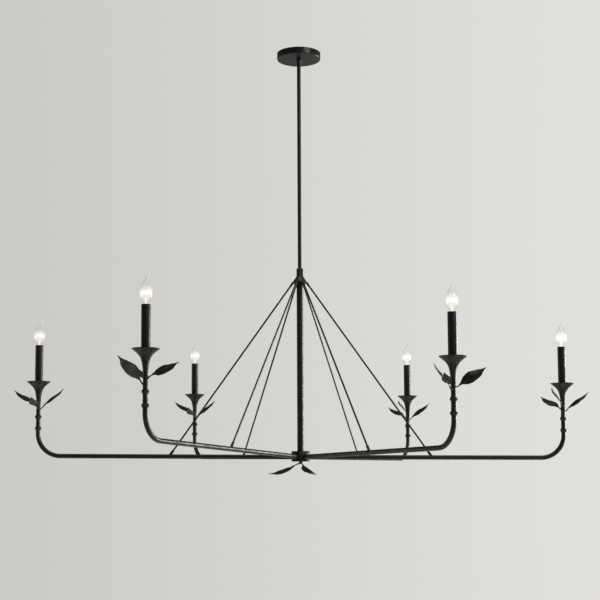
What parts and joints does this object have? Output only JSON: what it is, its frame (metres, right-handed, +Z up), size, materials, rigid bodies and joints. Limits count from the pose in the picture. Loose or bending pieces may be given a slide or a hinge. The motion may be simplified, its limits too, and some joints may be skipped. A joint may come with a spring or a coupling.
{
  "type": "chandelier",
  "caption": "Wide black iron chandelier on a ceiling rod: upturned candle arms stayed by slim rods, with leaf sprays, trumpet drip cups and flame-tip bulbs.",
  "frame": {"origin": "on the ceiling plane, at the crossbar's top face over the rod's axis", "axes": "+Z up into the ceiling, +X along the right-hand arm, -Y towards the front of the room"},
  "size_m": [1.6549, 1.4689, 1.2312],
  "materials": {
    "black_iron": "satin black, warm, lightly mottled",
    "black_leaf": "hand-hammered satin black",
    "black_screw": "black oxide",
    "candle_sleeve": "matt black tube",
    "socket_plastic": "moulded phenolic",
    "connector_plastic": "moulded, ribbed",
    "wire_insulation": "smooth cable sheath",
    "zinc_steel": "zinc plated",
    "green_screw": "green passivated",
    "brass": "turned",
    "bulb_brass": "nickel-brass screw shell",
    "clear_glass": "clear",
    "filament": "glowing warm white"
  },
  "bodies": {
    "ceiling_bracket": {"crossbar": "zinc_steel", "ground_screw": "green_screw", "swivel_socket": "zinc_steel"},
    "seat_ring": {"swivel_ring": "brass"},
    "ball": {"swivel_ball": "zinc_steel"},
    "fixture": {"arm_back_left": "black_iron", "arm_back_right": "black_iron", "arm_front_left": "black_iron", "arm_front_right": "black_iron", "arm_left": "black_iron", "arm_right": "black_iron", "arm_wires": "wire_insulation", "candle_sleeves": "candle_sleeve", "downrod": "black_iron", "drip_cups": "black_iron", "hub": "black_iron", "hub_cover": "black_iron", "hub_finial": "black_iron", "hub_leaves": "black_leaf", "lamp_sockets": "socket_plastic", "leaf_spray_back_left": "black_leaf", "leaf_spray_back_right": "black_leaf", "leaf_spray_front_left": "black_leaf", "leaf_spray_front_right": "black_leaf", "leaf_spray_left": "black_leaf", "leaf_spray_right": "black_leaf", "lower_stem": "black_iron", "stem_beads": "black_iron", "supply_wire": "wire_insulation", "support_rod_back_left": "black_iron", "support_rod_back_right": "black_iron", "support_rod_feet": "black_iron", "support_rod_front_left": "black_iron", "support_rod_front_right": "black_iron", "support_rod_left": "black_iron", "support_rod_nuts": "black_iron", "support_rod_right": "black_iron", "top_collar": "black_iron", "wire_connectors": "connector_plastic"},
    "canopy_unit": {"canopy": "black_iron", "canopy_collar": "black_iron", "canopy_set_screw": "black_screw"},
    "bulb_base_right": {"bulb_base_right": "bulb_brass"},
    "bulb_right": {"bulb_glass_right": "clear_glass", "bulb_filament_right": "filament"},
    "bulb_base_back_right": {"bulb_base_back_right": "bulb_brass"},
    "bulb_back_right": {"bulb_glass_back_right": "clear_glass", "bulb_filament_back_right": "filament"},
    "bulb_base_back_left": {"bulb_base_back_left": "bulb_brass"},
    "bulb_back_left": {"bulb_glass_back_left": "clear_glass", "bulb_filament_back_left": "filament"},
    "bulb_base_left": {"bulb_base_left": "bulb_brass"},
    "bulb_left": {"bulb_glass_left": "clear_glass", "bulb_filament_left": "filament"},
    "bulb_base_front_left": {"bulb_base_front_left": "bulb_brass"},
    "bulb_front_left": {"bulb_glass_front_left": "clear_glass", "bulb_filament_front_left": "filament"},
    "bulb_base_front_right": {"bulb_base_front_right": "bulb_brass"},
    "bulb_front_right": {"bulb_glass_front_right": "clear_glass", "bulb_filament_front_right": "filament"}
  },
  "joints": [
    {"name": "swivel_tilt_x", "type": "hinge", "parent": "ceiling_bracket", "child": "seat_ring", "pos_m": [0, 0, -0.0085], "axis": [1, 0, 0], "range_deg": [-5, 5]},
    {"name": "swivel_tilt_y", "type": "hinge", "parent": "seat_ring", "child": "ball", "pos_m": [0, 0, -0.0085], "axis": [0, 1, 0], "range_deg": [-5, 5]},
    {"name": "fixture_turn", "type": "hinge", "parent": "ball", "child": "fixture", "pos_m": [0, 0, -0.0235], "axis": [0, 0, 1], "range_deg": [-180, 180]},
    {"name": "canopy_slide", "type": "slide", "parent": "fixture", "child": "canopy_unit", "axis": [0, 0, 1], "range_m": [-0.3, 0]},
    {"name": "bulb_lift_right", "type": "slide", "parent": "fixture", "child": "bulb_base_right", "axis": [0, 0, 1], "range_m": [0, 0.0127]},
    {"name": "bulb_turn_right", "type": "hinge", "parent": "bulb_base_right", "child": "bulb_right", "pos_m": [0.748, 0, -0.9], "axis": [0, 0, 1], "range_deg": [0, 1800]},
    {"name": "bulb_lift_back_right", "type": "slide", "parent": "fixture", "child": "bulb_base_back_right", "axis": [0, 0, 1], "range_m": [0, 0.0127]},
    {"name": "bulb_turn_back_right", "type": "hinge", "parent": "bulb_base_back_right", "child": "bulb_back_right", "pos_m": [0.35921, 0.65611, -0.9], "axis": [0, 0, 1], "range_deg": [0, 1800]},
    {"name": "bulb_lift_back_left", "type": "slide", "parent": "fixture", "child": "bulb_base_back_left", "axis": [0, 0, 1], "range_m": [0, 0.0127]},
    {"name": "bulb_turn_back_left", "type": "hinge", "parent": "bulb_base_back_left", "child": "bulb_back_left", "pos_m": [-0.35921, 0.65611, -0.9], "axis": [0, 0, 1], "range_deg": [0, 1800]},
    {"name": "bulb_lift_left", "type": "slide", "parent": "fixture", "child": "bulb_base_left", "axis": [0, 0, 1], "range_m": [0, 0.0127]},
    {"name": "bulb_turn_left", "type": "hinge", "parent": "bulb_base_left", "child": "bulb_left", "pos_m": [-0.748, 0, -0.9], "axis": [0, 0, 1], "range_deg": [0, 1800]},
    {"name": "bulb_lift_front_left", "type": "slide", "parent": "fixture", "child": "bulb_base_front_left", "axis": [0, 0, 1], "range_m": [0, 0.0127]},
    {"name": "bulb_turn_front_left", "type": "hinge", "parent": "bulb_base_front_left", "child": "bulb_front_left", "pos_m": [-0.35921, -0.65611, -0.9], "axis": [0, 0, 1], "range_deg": [0, 1800]},
    {"name": "bulb_lift_front_right", "type": "slide", "parent": "fixture", "child": "bulb_base_front_right", "axis": [0, 0, 1], "range_m": [0, 0.0127]},
    {"name": "bulb_turn_front_right", "type": "hinge", "parent": "bulb_base_front_right", "child": "bulb_front_right", "pos_m": [0.35921, -0.65611, -0.9], "axis": [0, 0, 1], "range_deg": [0, 1800]}
  ],
  "couplings": [
    {"joint": "bulb_turn_right", "follows": "bulb_lift_right", "rad_per_m": 2473.7},
    {"joint": "bulb_turn_back_right", "follows": "bulb_lift_back_right", "rad_per_m": 2473.7},
    {"joint": "bulb_turn_back_left", "follows": "bulb_lift_back_left", "rad_per_m": 2473.7},
    {"joint": "bulb_turn_left", "follows": "bulb_lift_left", "rad_per_m": 2473.7},
    {"joint": "bulb_turn_front_left", "follows": "bulb_lift_front_left", "rad_per_m": 2473.7},
    {"joint": "bulb_turn_front_right", "follows": "bulb_lift_front_right", "rad_per_m": 2473.7}
  ]
}
